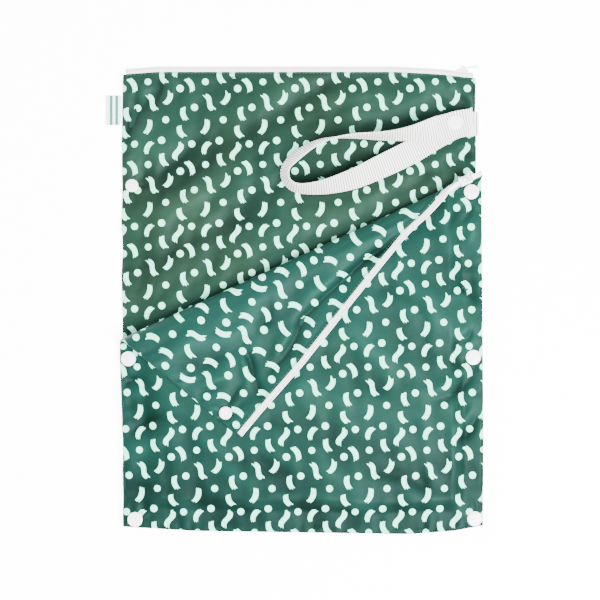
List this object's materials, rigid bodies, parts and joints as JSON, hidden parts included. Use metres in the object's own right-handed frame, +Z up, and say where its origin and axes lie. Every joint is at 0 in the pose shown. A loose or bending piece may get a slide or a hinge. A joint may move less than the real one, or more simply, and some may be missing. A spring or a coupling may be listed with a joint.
{
  "type": "cloth diaper wet bag",
  "caption": "Flat cloth wet bag of two stacked zip pouches joined by snaps, with one corner of the front pouch folded down, a webbing wrist loop and a blank side label.",
  "frame": {"origin": "middle of the big pouch's back panel, on the surface it lies on", "axes": "+Z up from the surface, +Y along the bag towards the big pouch's zip, +X towards the seam with the wrist strap"},
  "size_m": [0.3164, 0.3921, 0.0313],
  "materials": {
    "big_bag": "matte green coated cloth with a pale confetti print",
    "small_bag": "matte green coated cloth with a pale confetti print",
    "zip_tape": "white woven tape",
    "zip_chain": "white coil teeth",
    "zip_slider": "white enamel",
    "snap_plastic": "white moulded plastic",
    "webbing": "white ribbed webbing",
    "label": "plain white folded tape"
  },
  "bodies": {
    "bag": {"back_cap_bottom_left": "snap_plastic", "back_cap_bottom_right": "snap_plastic", "back_cap_middle_left": "snap_plastic", "back_cap_middle_right": "snap_plastic", "back_cap_top_left": "snap_plastic", "back_cap_top_right": "snap_plastic", "big_bag": "big_bag", "big_zip_back_tape": "zip_tape", "big_zip_chain": "zip_chain", "big_zip_front_tape": "zip_tape", "big_zip_slider": "zip_slider", "cap_bottom_left": "snap_plastic", "cap_bottom_right": "snap_plastic", "cap_middle_left": "snap_plastic", "cap_middle_right": "snap_plastic", "cap_top_left": "snap_plastic", "cap_top_right": "snap_plastic", "side_label": "label", "small_bag": "small_bag", "small_zip_back_tape": "zip_tape", "small_zip_chain": "zip_chain", "small_zip_front_tape": "zip_tape", "small_zip_slider": "zip_slider", "socket_bottom_left": "snap_plastic", "socket_bottom_right": "snap_plastic", "socket_middle_left": "snap_plastic", "socket_middle_right": "snap_plastic", "socket_top_left": "snap_plastic", "socket_top_right": "snap_plastic", "strap": "webbing", "strap_back_cap": "snap_plastic", "strap_cap": "snap_plastic", "strap_socket": "snap_plastic", "strap_stud": "snap_plastic", "stud_bottom_left": "snap_plastic", "stud_bottom_right": "snap_plastic", "stud_middle_left": "snap_plastic", "stud_middle_right": "snap_plastic", "stud_top_left": "snap_plastic", "stud_top_right": "snap_plastic"},
    "big_pull": {"big_zip_pull": "zip_slider"},
    "small_pull": {"small_zip_pull": "zip_slider"}
  },
  "joints": [
    {"name": "big_pull_hinge", "type": "hinge", "parent": "bag", "child": "big_pull", "pos_m": [0.13399, 0.19517, 0.00465], "axis": [0, 0, 1], "range_deg": [-12, 168]},
    {"name": "small_pull_hinge", "type": "hinge", "parent": "bag", "child": "small_pull", "pos_m": [0.1349, 0.10084, 0.01819], "axis": [0.4188, -0.9006, 0.1163], "range_deg": [-68, 105]}
  ]
}
